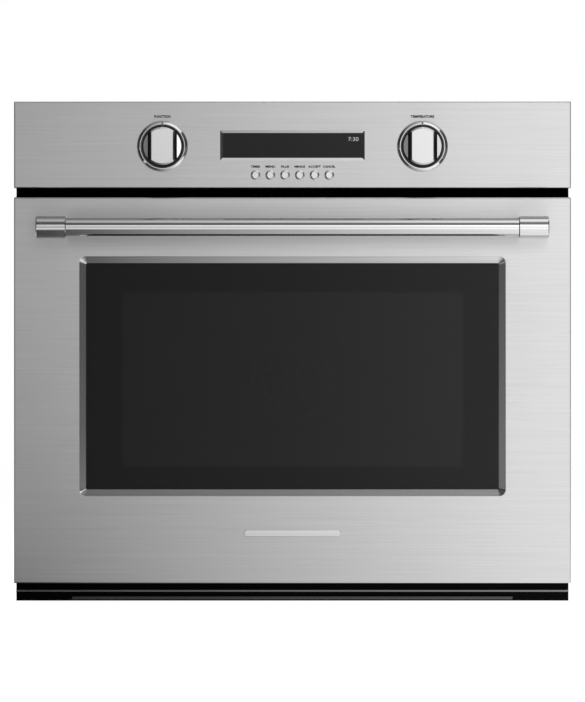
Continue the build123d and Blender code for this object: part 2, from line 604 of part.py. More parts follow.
with BuildPart() as middle_glass:
    with Locations((0, -26, WINDOW_Z)):
        Box(562, 4, 308)
save(middle_glass, "middle_glass")

with BuildPart() as inner_glass:
    with Locations((0, -12.4, WINDOW_Z)):
        Box(540, 4, 300)
save(inner_glass, "inner_glass")

with BuildPart() as door_liner:
    block((-376, 376), (-30, DOOR_BACK_Y), (28, 548))
    fillet(door_liner.faces().sort_by(Axis.Y)[-1].edges(), 1.0)
    block((SHEET - 376, 376 - SHEET), (-30, DOOR_BACK_Y - SHEET), (28 + SHEET, 548 - SHEET), Mode.SUBTRACT)
    with BuildSketch(front_plane(DOOR_BACK_Y)):
        with Locations((0, WINDOW_Z)):
            RectangleRounded(504, 264, 12)
        with Locations((1, LATCH_Z)):
            Rectangle(26, 11)
    extrude(amount=2 * SHEET, mode=Mode.SUBTRACT)
    for side in (-1, 1):
        block(sorted(side * x for x in claw_notch[0]), claw_notch[1], claw_notch[2], Mode.SUBTRACT)
save(door_liner, "door_liner")

with BuildPart() as handle_bar:
    reach = BRACKET_INNER_X + SOCKET_DEPTH - 0.2
    rod((-reach, HANDLE_Y, HANDLE_Z), "X", 2 * reach, BAR_RADIUS)
save(handle_bar, "handle_bar")

with BuildPart() as handle_brackets:
    bracket_width = BRACKET_OUTER_X - BRACKET_INNER_X
    for side in (-1, 1):
        low, high = sorted((side * BRACKET_INNER_X, side * BRACKET_OUTER_X))
        rod((low, HANDLE_Y, HANDLE_Z), "X", bracket_width, BRACKET_RADIUS)
        block((low, high), (HANDLE_Y, FRONT_Y), (HANDLE_Z - BRACKET_RADIUS, HANDLE_Z + BRACKET_RADIUS))
    side_faces = handle_brackets.faces().filter_by(Axis.X)
    chamfer(side_faces.edges().filter_by(lambda e: e.center().Y < FRONT_Y - 1), 1.2)
    rod((-BRACKET_INNER_X - SOCKET_DEPTH, HANDLE_Y, HANDLE_Z), "X", 2 * (BRACKET_INNER_X + SOCKET_DEPTH),
        BAR_RADIUS + 0.05, Mode.SUBTRACT)
save(handle_brackets, "handle_brackets")

with BuildPart() as badge_plate:
    with BuildSketch(front_plane(FRONT_Y)):
        with Locations((0, 93.3)):
            SlotOverall(132, 9)
    extrude(amount=1.6)
    chamfer(badge_plate.faces().sort_by(Axis.Y)[0].edges(), 0.5)
save(badge_plate, "badge_plate")

# ---- control fascia ----
with BuildPart() as control_fascia:
    block((-half_front, half_front), (FRONT_Y, -FRAME_THICKNESS), (FASCIA_BOTTOM, OVERALL_HEIGHT))
    fillet(control_fascia.faces().sort_by(Axis.Y)[0].edges(), EDGE_RADIUS)
    block((SHEET - half_front, half_front - SHEET), (FRONT_Y + SHEET, -FRAME_THICKNESS),
          (FASCIA_BOTTOM + SHEET, OVERALL_HEIGHT - SHEET), Mode.SUBTRACT)
    with BuildSketch(front_plane(FRONT_Y + 2 * SHEET)):
        with Locations((0, DISPLAY_Z)):
            Rectangle(196.4, 40.4)
        with Locations((-DIAL_X, DIAL_Z), (DIAL_X, DIAL_Z)):
            Circle(7)
        with Locations((0, BUTTON_Z)):
            with GridLocations(BUTTON_PITCH, 0, len(BUTTONS), 1):
                Circle(BUTTON_HOLE)
    extrude(amount=3 * SHEET, mode=Mode.SUBTRACT)
save(control_fascia, "control_fascia")

with BuildPart() as display_bezel:
    with BuildSketch(front_plane(FRONT_Y)):
        with Locations((0, DISPLAY_Z)):
            Rectangle(DISPLAY_WIDTH + 7.2, DISPLAY_HEIGHT + 7.7)
    extrude(amount=BEZEL_LIP)
    with BuildSketch(front_plane(FRONT_Y)):
        with Locations((0, DISPLAY_Z)):
            Rectangle(196, 40)
    extrude(amount=-3.5)
    with BuildSketch(front_plane(FRONT_Y - BEZEL_LIP)):
        with Locations((0, DISPLAY_Z)):
            Rectangle(DISPLAY_WIDTH + 6.6, DISPLAY_HEIGHT + 7.1)
    with BuildSketch(front_plane(FRONT_Y + 1)):
        with Locations((0, DISPLAY_Z)):
            Rectangle(DISPLAY_WIDTH, DISPLAY_HEIGHT)
    loft(mode=Mode.SUBTRACT)
    with BuildSketch(front_plane(FRONT_Y + 1)):
        with Locations((0, DISPLAY_Z)):
            Rectangle(DISPLAY_WIDTH, DISPLAY_HEIGHT)
    extrude(amount=-2.5, mode=Mode.SUBTRACT)
save(display_bezel, "display_bezel")

with BuildPart() as display_glass:
    block((-98, 98), (FRONT_Y + 3.7, FRONT_Y + 5.7), (DISPLAY_Z - 20, DISPLAY_Z + 20))
save(display_glass, "display_glass")

with BuildPart() as control_board:
    block((-104, 104), (-38, -36.4), (WIRING_Z - 54, WIRING_Z + 54))
    block((-94, 94), (FRONT_Y + 5.9, -38), (DISPLAY_Z - 18, DISPLAY_Z + 18))
    for i in range(len(BUTTONS)):
        x = (i - (len(BUTTONS) - 1) / 2) * BUTTON_PITCH
        block((x - 3, x + 3), (-41, -38), (BUTTON_Z - 3, BUTTON_Z + 3))
        rod((x, -41.5, BUTTON_Z), "Y", 1, 1.6)
    for x in (-96, 96):
        for z in (WIRING_Z - 47, WIRING_Z + 47):
            rod((x, -36.4, z), "Y", 36.4 - FRAME_THICKNESS, 3)
save(control_board, "control_board")

with BuildPart() as dial_rings:
    for x in (-DIAL_X, DIAL_X):
        with BuildSketch(Plane((x, 0, DIAL_Z), x_dir=(1, 0, 0), z_dir=(0, 0, 1))):
            with BuildLine():
                Line((RING_INNER, FRONT_Y), (RING_OUTER, FRONT_Y))
                Line((RING_OUTER, FRONT_Y), (RING_OUTER, FRONT_Y - 0.9))
                ThreePointArc((RING_OUTER, FRONT_Y - 0.9), (32.75, -52.85), (RING_LIP, RING_FACE_Y))
                Line((RING_LIP, RING_FACE_Y), (RING_LIP - 1.0, RING_FACE_Y))
                Line((RING_LIP - 1.0, RING_FACE_Y), (RING_INNER, RING_FACE_Y + 2.5))
                Line((RING_INNER, RING_FACE_Y + 2.5), (RING_INNER, FRONT_Y))
            make_face()
        revolve(axis=Axis((x, 0, DIAL_Z), (0, 1, 0)))
save(dial_rings, "dial_rings")

STEM_RADIUS = 4.0
with BuildPart() as dial_encoders:
    for x in (-DIAL_X, DIAL_X):
        block((x - 12, x + 12), (-46, -32), (DIAL_Z - 12, DIAL_Z + 12))
        rod((x, -50.6, DIAL_Z), "Y", 5, 6.5)
        rod((x, -51, DIAL_Z), "Y", 14, STEM_RADIUS + RUNNING, Mode.SUBTRACT)
        block((x - 30, x + 30), (-46, -44.6), (DIAL_Z - 16, DIAL_Z + 16))
        rod((x, -47, DIAL_Z), "Y", 10, STEM_RADIUS + RUNNING, Mode.SUBTRACT)
save(dial_encoders, "dial_encoders")


def dial_knob(x):
    """A round knob with two scooped sides that leave a bar across its face."""
    bar_top, bar_foot, bar_chamfer = 15.3, 19.9, 0.9
    with BuildPart() as knob:
        with BuildSketch(front_plane(-51.2)):
            with Locations((x, DIAL_Z)):
                Circle(DIAL_RADIUS)
        extrude(amount=-51.2 - DIAL_FACE_Y)
        chamfer(knob.faces().sort_by(Axis.Y)[0].edges(), 2.2)
        for side in (-1, 1):
            with BuildSketch(Plane.XY.offset(DIAL_Z - 30)):
                shoulder = (x + side * bar_top, DIAL_FACE_Y + bar_chamfer)
                foot = (x + side * bar_foot, -60.6)
                with BuildLine():
                    Polyline((x + side * (bar_top - bar_chamfer), -76),
                             (x + side * (bar_top - bar_chamfer), DIAL_FACE_Y), shoulder)
                    ThreePointArc(shoulder, (x + side * 16.7, -65), foot)
                    Polyline(foot, (x + side * 30, -57), (x + side * 30, -76),
                             (x + side * (bar_top - bar_chamfer), -76))
                make_face()
            extrude(amount=60, mode=Mode.SUBTRACT)
        with BuildSketch(front_plane(DIAL_FACE_Y + 3)):
            with Locations((x, DIAL_Z + DIAL_RADIUS - 1.3)):
                Triangle(a=3.4, B=66, C=66, rotation=180, align=(Align.CENTER, Align.CENTER))
        extrude(amount=6, mode=Mode.SUBTRACT)
        rod((x, -51.2, DIAL_Z), "Y", 13, STEM_RADIUS)
    return knob


function_knob = dial_knob(-DIAL_X)
save(function_knob, "function_knob")
temperature_knob = dial_knob(DIAL_X)
save(temperature_knob, "temperature_knob")

for i, word in enumerate(BUTTONS):
    with BuildPart() as button:
        x = (i - (len(BUTTONS) - 1) / 2) * BUTTON_PITCH
        with BuildSketch(Plane((x, 0, BUTTON_Z), x_dir=(1, 0, 0), z_dir=(0, 0, 1))):
            with BuildLine():
                Polyline((0, -52.1), (4.1, -52.1), (4.5, -52.5), (BUTTON_RADIUS, -51.2),
                         (BUTTON_RADIUS, -48.6), (8.4, -48.6), (8.4, -47.4), (2.5, -47.4),
                         (2.5, -42.9), (0, -42.9), close=True)
            make_face()
        revolve(axis=Axis((x, 0, BUTTON_Z), (0, 1, 0)))
    save(button, f"{word}_button")
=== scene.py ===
"""Looks for the built-in wall oven: materials, small printed and trim pieces, light, floor and camera.

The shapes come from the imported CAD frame. Everything is in metres in the frame's own axes:
X to the right, Y back into the cabinet, Z up.
"""

import math

import bmesh
import bpy
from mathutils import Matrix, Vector


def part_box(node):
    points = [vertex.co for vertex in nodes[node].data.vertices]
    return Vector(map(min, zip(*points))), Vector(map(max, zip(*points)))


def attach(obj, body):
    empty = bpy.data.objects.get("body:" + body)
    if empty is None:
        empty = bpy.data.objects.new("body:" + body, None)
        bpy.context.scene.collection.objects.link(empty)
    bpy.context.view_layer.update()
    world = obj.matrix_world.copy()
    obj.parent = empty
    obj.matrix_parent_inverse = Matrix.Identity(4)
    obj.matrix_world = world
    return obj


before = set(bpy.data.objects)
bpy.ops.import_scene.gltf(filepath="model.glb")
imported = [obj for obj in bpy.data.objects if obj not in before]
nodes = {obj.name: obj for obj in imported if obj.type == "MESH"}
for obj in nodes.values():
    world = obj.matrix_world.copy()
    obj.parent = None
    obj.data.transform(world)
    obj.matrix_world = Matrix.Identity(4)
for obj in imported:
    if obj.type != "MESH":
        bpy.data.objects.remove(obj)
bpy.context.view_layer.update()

# ---------------------------------------------------------------- node helpers


class Graph:
    """A material's node tree with short calls for adding and joining nodes."""

    def __init__(self, name):
        self.material = bpy.data.materials.new(name)
        self.material.use_nodes = True
        self.tree = self.material.node_tree
        self.shader = self.tree.nodes["Principled BSDF"]
        self.output = self.tree.nodes["Material Output"]

    def add(self, kind, **settings):
        node = self.tree.nodes.new(kind)
        for key, value in settings.items():
            setattr(node, key, value)
        return node

    def join(self, source, target):
        self.tree.links.new(source, target)

    def set(self, **values):
        for key, value in values.items():
            self.shader.inputs[key.replace("_", " ")].default_value = value

    def coords(self, scale=(1, 1, 1), rotation=(0, 0, 0)):
        """Object coordinates, which are the frame's own metres, stretched by scale."""
        texture = self.add("ShaderNodeTexCoord")
        mapping = self.add("ShaderNodeMapping")
        mapping.inputs["Scale"].default_value = scale
        mapping.inputs["Rotation"].default_value = rotation
        self.join(texture.outputs["Object"], mapping.inputs["Vector"])
        return mapping.outputs["Vector"]

    def place(self):
        """The X, Y and Z of a point, as sockets."""
        parts = self.add("ShaderNodeSeparateXYZ")
        self.join(self.add("ShaderNodeTexCoord").outputs["Object"], parts.inputs["Vector"])
        return parts.outputs

    def noise(self, vector, scale=1.0, detail=3.0, roughness=0.55):
        node = self.add("ShaderNodeTexNoise")
        node.inputs["Scale"].default_value = scale
        node.inputs["Detail"].default_value = detail
        node.inputs["Roughness"].default_value = roughness
        self.join(vector, node.inputs["Vector"])
        return node.outputs["Fac"]

    def ramp(self, value, stops):
        """A colour ramp through (position, grey or colour) stops."""
        node = self.add("ShaderNodeValToRGB")
        elements = node.color_ramp.elements
        while len(elements) < len(stops):
            elements.new(0.5)
        for element, (position, colour) in zip(elements, stops):
            element.position = position
            element.color = rgba(colour)
        self.join(value, node.inputs["Fac"])
        return node.outputs["Color"]

    def span(self, value, low, high, from_low=0.0, from_high=1.0):
        """value mapped from one range to another, clamped."""
        node = self.add("ShaderNodeMapRange")
        ends = {"From Min": from_low, "From Max": from_high, "To Min": low, "To Max": high}
        for key, number in ends.items():
            if isinstance(number, (int, float)):
                node.inputs[key].default_value = number
            else:
                self.join(number, node.inputs[key])
        self.join(value, node.inputs["Value"])
        return node.outputs["Result"]

    def math(self, operation, first, second=None):
        node = self.add("ShaderNodeMath", operation=operation)
        for socket, value in zip(node.inputs, (first, second)):
            if isinstance(value, (int, float)):
                socket.default_value = value
            elif value is not None:
                self.join(value, socket)
        return node.outputs["Value"]

    def bump(self, height, distance, strength):
        node = self.add("ShaderNodeBump")
        node.inputs["Distance"].default_value = distance
        node.inputs["Strength"].default_value = strength
        self.join(height, node.inputs["Height"])
        self.join(node.outputs["Normal"], self.shader.inputs["Normal"])

    def grain_along_x(self):
        """Stretches highlights across a grain that runs along X, whichever way the surface faces."""
        geometry = self.add("ShaderNodeNewGeometry")
        cross = self.add("ShaderNodeVectorMath", operation="CROSS_PRODUCT")
        cross.inputs[1].default_value = (1.0, 0.02, 0.01)
        self.join(geometry.outputs["Normal"], cross.inputs[0])
        self.join(cross.outputs["Vector"], self.shader.inputs["Tangent"])


def rgba(colour):
    if isinstance(colour, (int, float)):
        return (colour, colour, colour, 1.0)
    return (*colour, 1.0)


def wear(g, amount, scale=9.0):
    """A soft cloudy value about 0.5, for smudges and handling marks."""
    return g.span(g.noise(g.coords(), scale, 4.0, 0.6), 0.5 - amount, 0.5 + amount, 0.3, 0.7)


# ---------------------------------------------------------------- materials

EDGE_ROUGHNESS = 0.14  # of the folded and stamped edges of the front sheets
FOLD_START, FOLD_END = 0.0001, 0.0004  # how far behind the front face such an edge begins


def brushed_steel(name, grey, rough, anisotropic, grain_axis="X", fine=2600.0, marks=0.03, relief=0.35,
                  face_y=None):
    """Steel with a long grain along one axis. Behind face_y it is a smoother stamped edge."""
    g = Graph(name)
    g.set(Metallic=1.0, Anisotropic=anisotropic)
    stretch = tuple(9.0 if axis == grain_axis else fine for axis in "XYZ")
    coarse = tuple(3.0 if axis == grain_axis else fine / 6 for axis in "XYZ")
    grain = g.noise(g.coords(stretch), 1.0, 2.0, 0.5)
    bands = g.noise(g.coords(coarse), 1.0, 3.0, 0.6)
    both = g.math("ADD", g.math("MULTIPLY", grain, 0.6), g.math("MULTIPLY", bands, 0.4))
    g.join(g.ramp(both, [(0.3, grey * 0.89), (0.7, grey * 1.09)]), g.shader.inputs["Base Color"])
    smudge = g.math("MULTIPLY", wear(g, 0.5), marks)
    brushed = g.math("ADD", g.span(both, rough - 0.03, rough + 0.03, 0.3, 0.7), smudge)
    if face_y is not None:
        face = g.span(g.place()["Y"], 1.0, 0.0, face_y + FOLD_START, face_y + FOLD_END)
        brushed = g.span(face, EDGE_ROUGHNESS, brushed)
    g.join(brushed, g.shader.inputs["Roughness"])
    if relief:
        g.bump(both, 0.00002, relief)
    if grain_axis == "X":
        g.grain_along_x()
    return g.material


def polished(name, grey, rough, scale=60.0):
    """Bright metal with faint cloudy handling marks."""
    g = Graph(name)
    g.set(Metallic=1.0)
    cloud = g.noise(g.coords(), scale, 5.0, 0.65)
    g.join(g.ramp(cloud, [(0.3, grey * 0.94), (0.7, grey)]), g.shader.inputs["Base Color"])
    g.join(g.span(cloud, rough, rough + 0.04, 0.35, 0.75), g.shader.inputs["Roughness"])
    return g.material


# painted shade: the flanks beside the bar of a dial's knob, from its side to its foot and behind its
# chamfered face, are coloured dark
BAR_SIDE, BAR_FOOT, FLANK_FRONT_Y = 0.01527, 0.0199, -0.0732
KNOB_SIDE_RADIUS = 0.02572  # the knob's side wall, painted dark as shade too


def turned(name, grey, rough, centre_x, centre_z):
    """A knob's satin metal: fine turned rings, with painted shade on the flanks beside the bar across its
    face and on its side wall.
    """
    g = Graph(name)
    g.set(Metallic=1.0)
    texture = g.add("ShaderNodeTexCoord")
    shift = g.add("ShaderNodeMapping")
    shift.inputs["Location"].default_value = (-centre_x, 0, -centre_z)
    shift.inputs["Scale"].default_value = (1, 0, 1)
    g.join(texture.outputs["Object"], shift.inputs["Vector"])
    length = g.add("ShaderNodeVectorMath", operation="LENGTH")
    g.join(shift.outputs["Vector"], length.inputs[0])
    radius = length.outputs["Value"]
    rings = g.add("ShaderNodeTexNoise", noise_dimensions="1D")
    rings.inputs["Scale"].default_value = 5000.0
    rings.inputs["Detail"].default_value = 2.0
    g.join(radius, rings.inputs["W"])
    bright = g.ramp(rings.outputs["Fac"], [(0.3, grey * 0.95), (0.7, grey)])
    from_centre = g.add("ShaderNodeSeparateXYZ")
    g.join(shift.outputs["Vector"], from_centre.inputs["Vector"])
    aside = g.math("ABSOLUTE", from_centre.outputs["X"])
    past_side = g.math("GREATER_THAN", aside, BAR_SIDE)
    beside_bar = g.math("MULTIPLY", past_side, g.math("LESS_THAN", aside, BAR_FOOT))
    painted_flank_shade = g.math("MULTIPLY", beside_bar, g.math("GREATER_THAN", g.place()["Y"], FLANK_FRONT_Y))
    rim = g.math("GREATER_THAN", radius, KNOB_SIDE_RADIUS)
    # painted shade: the flanks and the side wall take a near-black metal colour in place of the knob's own
    # grey
    shade = g.add("ShaderNodeMixRGB")
    shade.inputs["Color2"].default_value = rgba(0.045)
    g.join(g.math("MAXIMUM", painted_flank_shade, rim), shade.inputs["Fac"])
    g.join(bright, shade.inputs["Color1"])
    g.join(shade.outputs["Color"], g.shader.inputs["Base Color"])
    g.join(g.span(rings.outputs["Fac"], rough - 0.03, rough + 0.05, 0.3, 0.7), g.shader.inputs["Roughness"])
    return g.material


def powder_coat(name, colour, rough, specular=0.5):
    """Matt paint with a fine orange peel and a slightly uneven tone."""
    g = Graph(name)
    g.set(Specular_IOR_Level=specular)
    cloud = wear(g, 0.3, 14.0)
    dark, light = [c * 0.8 for c in colour], [min(1.0, c * 1.25) for c in colour]
    g.join(g.ramp(cloud, [(0.0, dark), (1.0, light)]), g.shader.inputs["Base Color"])
    peel = g.noise(g.coords(), 2200.0, 2.0, 0.5)
    g.join(g.span(cloud, rough - 0.06, rough + 0.06), g.shader.inputs["Roughness"])
    g.bump(peel, 0.00004, 0.5)
    return g.material


# heights of the bare lip and the bare fin of the lower trim, and how far forward both start
TRIM_LIP, TRIM_FIN, TRIM_PROUD_Y = (0.0121, 0.0150), (0.0017, 0.0057), -0.0036


def trim_coat(name):
    """Black coat on the lower trim, with bare metal along its lip and its fin; the lip's metal carries
    painted light, a lighter tone than the fin's.
    """
    g = Graph(name)
    g.set(Specular_IOR_Level=0.04)
    place = g.place()
    streak = g.noise(g.coords((6, 300, 300)), 1.0, 3.0)
    height = g.math("ADD", place["Z"], g.span(streak, -0.0001, 0.0001))
    proud = g.math("LESS_THAN", place["Y"], TRIM_PROUD_Y)
    bands = []
    for low, high in (TRIM_LIP, TRIM_FIN):
        band = g.math("MULTIPLY", g.math("GREATER_THAN", height, low), g.math("LESS_THAN", height, high))
        bands.append(g.math("MULTIPLY", band, proud))
    metal = g.math("MAXIMUM", *bands)
    base = g.add("ShaderNodeMixRGB")
    base.inputs["Color1"].default_value = rgba(0.0012)
    g.join(metal, base.inputs["Fac"])
    # painted light: one bare metal is given a lighter tone on the lip (0.19) than on the fin (0.075)
    tone = g.math("MULTIPLY", g.span(bands[0], 0.075, 0.19), g.span(streak, 0.85, 1.15))
    g.join(tone, base.inputs["Color2"])
    g.join(base.outputs["Color"], g.shader.inputs["Base Color"])
    g.join(metal, g.shader.inputs["Metallic"])
    g.join(g.span(metal, 0.5, 0.36), g.shader.inputs["Roughness"])
    return g.material


def galvanised(name):
    """Zinc-coated sheet with its crystal spangle."""
    g = Graph(name)
    g.set(Metallic=1.0)
    spangle = g.add("ShaderNodeTexVoronoi", feature="F1", distance="EUCLIDEAN")
    spangle.inputs["Scale"].default_value = 110.0
    warp = g.add("ShaderNodeMixRGB", blend_type="ADD")
    warp.inputs["Fac"].default_value = 0.02
    position = g.coords()
    g.join(position, warp.inputs["Color1"])
    wobble = g.add("ShaderNodeTexNoise")
    wobble.inputs["Scale"].default_value = 45.0
    g.join(position, wobble.inputs["Vector"])
    g.join(wobble.outputs["Color"], warp.inputs["Color2"])
    g.join(warp.outputs["Color"], spangle.inputs["Vector"])
    cell = g.add("ShaderNodeSeparateColor")
    g.join(spangle.outputs["Color"], cell.inputs["Color"])
    shade = wear(g, 0.5, 3.0)
    tone = g.math("ADD", g.math("MULTIPLY", cell.outputs["Red"], 0.6), g.math("MULTIPLY", shade, 0.4))
    greys = [(0.1, (0.38, 0.39, 0.40)), (0.9, (0.56, 0.57, 0.58))]
    g.join(g.ramp(tone, greys), g.shader.inputs["Base Color"])
    g.join(g.span(cell.outputs["Green"], 0.32, 0.5), g.shader.inputs["Roughness"])
    return g.material


def enamel(name):
    """Dark vitreous enamel with pale speckles."""
    g = Graph(name)
    g.set(Roughness=0.16, Coat_Weight=0.4, Coat_Roughness=0.08)
    dots = g.add("ShaderNodeTexVoronoi", feature="F1")
    dots.inputs["Scale"].default_value = 380.0
    g.join(g.coords(), dots.inputs["Vector"])
    pick = g.add("ShaderNodeSeparateColor")
    g.join(dots.outputs["Color"], pick.inputs["Color"])
    near = g.math("LESS_THAN", dots.outputs["Distance"], 0.26)
    chosen = g.math("MULTIPLY", near, g.math("GREATER_THAN", pick.outputs["Red"], 0.62))
    base = g.add("ShaderNodeMixRGB")
    base.inputs["Color1"].default_value = rgba((0.012, 0.014, 0.022))
    base.inputs["Color2"].default_value = rgba((0.22, 0.24, 0.28))
    g.join(g.math("MULTIPLY", chosen, pick.outputs["Blue"]), base.inputs["Fac"])
    g.join(base.outputs["Color"], g.shader.inputs["Base Color"])
    g.bump(g.noise(g.coords(), 60.0, 2.0, 0.4), 0.0002, 0.25)
    return g.material


def heated_wire(name):
    """Bright wire with a faint straw tint from heat."""
    g = Graph(name)
    g.set(Metallic=1.0)
    tint = g.noise(g.coords(), 14.0, 3.0, 0.6)
    colours = [(0.35, (0.60, 0.60, 0.60)), (0.75, (0.58, 0.52, 0.42))]
    g.join(g.ramp(tint, colours), g.shader.inputs["Base Color"])
    g.join(g.span(g.noise(g.coords(), 300.0), 0.1, 0.24), g.shader.inputs["Roughness"])
    return g.material


def element_sheath(name):
    """The scaled dark metal of a heating element."""
    g = Graph(name)
    g.set(Metallic=0.6)
    scale = g.noise(g.coords(), 130.0, 5.0, 0.7)
    colours = [(0.3, (0.035, 0.03, 0.03)), (0.55, (0.085, 0.075, 0.07)), (0.75, (0.16, 0.13, 0.11))]
    g.join(g.ramp(scale, colours), g.shader.inputs["Base Color"])
    g.join(g.span(scale, 0.45, 0.7), g.shader.inputs["Roughness"])
    g.bump(scale, 0.0001, 0.5)
    return g.material


def woven(name, colour, pitch):
    """A close braid: two sets of strands crossing on the slant."""
    g = Graph(name)
    g.set(Roughness=0.9, Sheen_Weight=0.25)
    heights = []
    for angle in (math.radians(45), math.radians(-45)):
        wave = g.add("ShaderNodeTexWave", wave_type="BANDS", bands_direction="DIAGONAL")
        wave.inputs["Scale"].default_value = 1.0 / pitch
        wave.inputs["Distortion"].default_value = 0.6
        g.join(g.coords(rotation=(angle, angle, angle)), wave.inputs["Vector"])
        heights.append(wave.outputs["Fac"])
    weave = g.math("MAXIMUM", *heights)
    dark = tuple(c * 0.45 for c in colour)
    g.join(g.ramp(weave, [(0.2, dark), (0.9, colour)]), g.shader.inputs["Base Color"])
    g.bump(weave, pitch * 0.25, 0.8)
    return g.material


def mineral_wool(name):
    """Matted yellow fibres."""
    g = Graph(name)
    g.set(Roughness=1.0, Sheen_Weight=0.3)
    fibres = g.noise(g.coords((60, 260, 160)), 1.0, 6.0, 0.75)
    colours = [(0.3, (0.42, 0.34, 0.16)), (0.7, (0.80, 0.72, 0.48))]
    g.join(g.ramp(fibres, colours), g.shader.inputs["Base Color"])
    g.bump(fibres, 0.003, 0.8)
    return g.material


def moulded(name, colour, rough):
    """Plastic with a fine moulded texture."""
    g = Graph(name)
    fine = g.noise(g.coords(), 900.0, 2.0, 0.5)
    light = [min(1.0, c * 1.4 + 0.004) for c in colour]
    g.join(g.ramp(fine, [(0.3, colour), (0.7, light)]), g.shader.inputs["Base Color"])
    g.join(g.span(fine, rough - 0.05, rough + 0.08), g.shader.inputs["Roughness"])
    g.bump(fine, 0.00005, 0.4)
    return g.material


def circuit_board(name):
    """Solder mask with tracks and pads."""
    g = Graph(name)
    g.set(Roughness=0.35, Coat_Weight=0.3)
    tracks = g.add("ShaderNodeTexBrick")
    tracks.inputs["Scale"].default_value = 260.0
    tracks.inputs["Mortar Size"].default_value = 0.06
    tracks.inputs["Color1"].default_value = rgba((0.012, 0.10, 0.035))
    tracks.inputs["Color2"].default_value = rgba((0.018, 0.13, 0.05))
    tracks.inputs["Mortar"].default_value = rgba((0.05, 0.22, 0.09))
    g.join(g.coords(rotation=(math.radians(90), 0, 0)), tracks.inputs["Vector"])
    g.join(tracks.outputs["Color"], g.shader.inputs["Base Color"])
    return g.material


def clear_pane(name, tint, smear=0.02, index=1.5):
    """A flat pane: what is behind it shows through the tint, and its surface reflects."""
    g = Graph(name)
    g.tree.nodes.remove(g.shader)
    through = g.add("ShaderNodeBsdfTransparent")
    through.inputs["Color"].default_value = rgba(tint)
    gloss = g.add("ShaderNodeBsdfGlossy")
    haze = g.span(g.noise(g.coords(), 6.0, 4.0, 0.6), smear * 0.5, smear * 1.5, 0.3, 0.7)
    g.join(haze, gloss.inputs["Roughness"])
    fresnel = g.add("ShaderNodeFresnel")
    fresnel.inputs["IOR"].default_value = index
    mix = g.add("ShaderNodeMixShader")
    g.join(fresnel.outputs["Fac"], mix.inputs["Fac"])
    g.join(through.outputs["BSDF"], mix.inputs[1])
    g.join(gloss.outputs["BSDF"], mix.inputs[2])
    g.join(mix.outputs["Shader"], g.output.inputs["Surface"])
    return g.material


def ceramic_print(name, colour):
    """Opaque dark print fired onto glass."""
    g = Graph(name)
    haze = g.noise(g.coords(), 25.0, 4.0, 0.6)
    light = [c * 1.6 for c in colour]
    g.join(g.ramp(haze, [(0.3, colour), (0.7, light)]), g.shader.inputs["Base Color"])
    g.join(g.span(haze, 0.05, 0.09), g.shader.inputs["Roughness"])
    return g.material


def printed_ink(name, grey):
    """Screen-printed ink, very slightly mottled."""
    g = Graph(name)
    g.set(Specular_IOR_Level=0.15)
    dots = g.noise(g.coords(), 3000.0, 2.0)
    g.join(g.ramp(dots, [(0.3, grey * 0.85), (0.7, grey * 1.15)]), g.shader.inputs["Base Color"])
    g.join(g.span(dots, 0.45, 0.6), g.shader.inputs["Roughness"])
    return g.material


def lit_segment(name, colour, strength):
    """A glowing digit of the clock."""
    g = Graph(name)
    g.set(Base_Color=rgba(0.02), Roughness=0.4, Emission_Strength=strength)
    glow = g.noise(g.coords(), 1500.0, 1.0)
    light = [min(1.0, c * 1.1) for c in colour]
    g.join(g.ramp(glow, [(0.3, colour), (0.7, light)]), g.shader.inputs["Emission Color"])
    return g.material


DIAL_X, DIAL_Z = 0.177, 0.620

fascia_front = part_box("control_fascia")[0].y
front_steel = brushed_steel("front_steel", 0.60, 0.34, 0.75, relief=0.15, face_y=fascia_front)
handle_steel = brushed_steel("handle_steel", 0.68, 0.11, 0.0, fine=3500.0, marks=0.01, relief=0.0)
bracket_steel = brushed_steel("bracket_steel", 0.66, 0.12, 0.0, fine=3000.0, marks=0.01, relief=0.0)
polished_trim = polished("polished_trim", 0.74, 0.05)
badge_metal = brushed_steel("badge_metal", 0.70, 0.3, 0.0, fine=1800.0, relief=0.0)
# painted light: both knobs are one metal, but the left one is given a lighter grey than the right one
left_knob_painted_lighter = turned("turned_left", 0.78, 0.24, -DIAL_X, DIAL_Z)
right_knob_painted_darker = turned("turned_right", 0.70, 0.24, DIAL_X, DIAL_Z)
key_metal = polished("key_metal", 0.74, 0.26, scale=400.0)
black_coat = powder_coat("black_coat", (0.001, 0.001, 0.001), 0.8, specular=0.0)
lower_coat = trim_coat("lower_coat")
duct_coat = powder_coat("duct_coat", (0.012, 0.012, 0.013), 0.6, specular=0.2)
zinc_sheet = galvanised("zinc_sheet")
dark_enamel = enamel("dark_enamel")
wire_metal = heated_wire("wire_metal")
plain_steel = brushed_steel("plain_steel", 0.52, 0.34, 0.3, grain_axis="Y", fine=900.0)
sheath = element_sheath("sheath")
wool = mineral_wool("wool")
braid = woven("braid", (0.16, 0.16, 0.165), 0.0022)
motor_paint = powder_coat("motor_paint", (0.03, 0.03, 0.033), 0.55)
door_glass = clear_pane("door_glass", (0.42, 0.42, 0.42), index=1.34)
inner_pane = clear_pane("inner_pane", (0.80, 0.83, 0.82), index=2.3)
lamp_glass = clear_pane("lamp_glass", (0.86, 0.88, 0.88), smear=0.12)
display_pane = clear_pane("display_pane", (0.6, 0.6, 0.6), index=1.34)
black_plastic = moulded("black_plastic", (0.012, 0.012, 0.012), 0.5)
board_green = circuit_board("board_green")
screw_zinc = polished("screw_zinc", 0.6, 0.22, scale=500.0)
glass_print = ceramic_print("glass_print", (0.003, 0.003, 0.003))
recess_black = moulded("recess_black", (0.004, 0.004, 0.004), 0.55)
label_ink = printed_ink("label_ink", 0.006)
clock_glow = lit_segment("clock_glow", (0.75, 0.78, 0.8), 0.6)
display_face = moulded("display_face", (0.004, 0.004, 0.0045), 0.4)

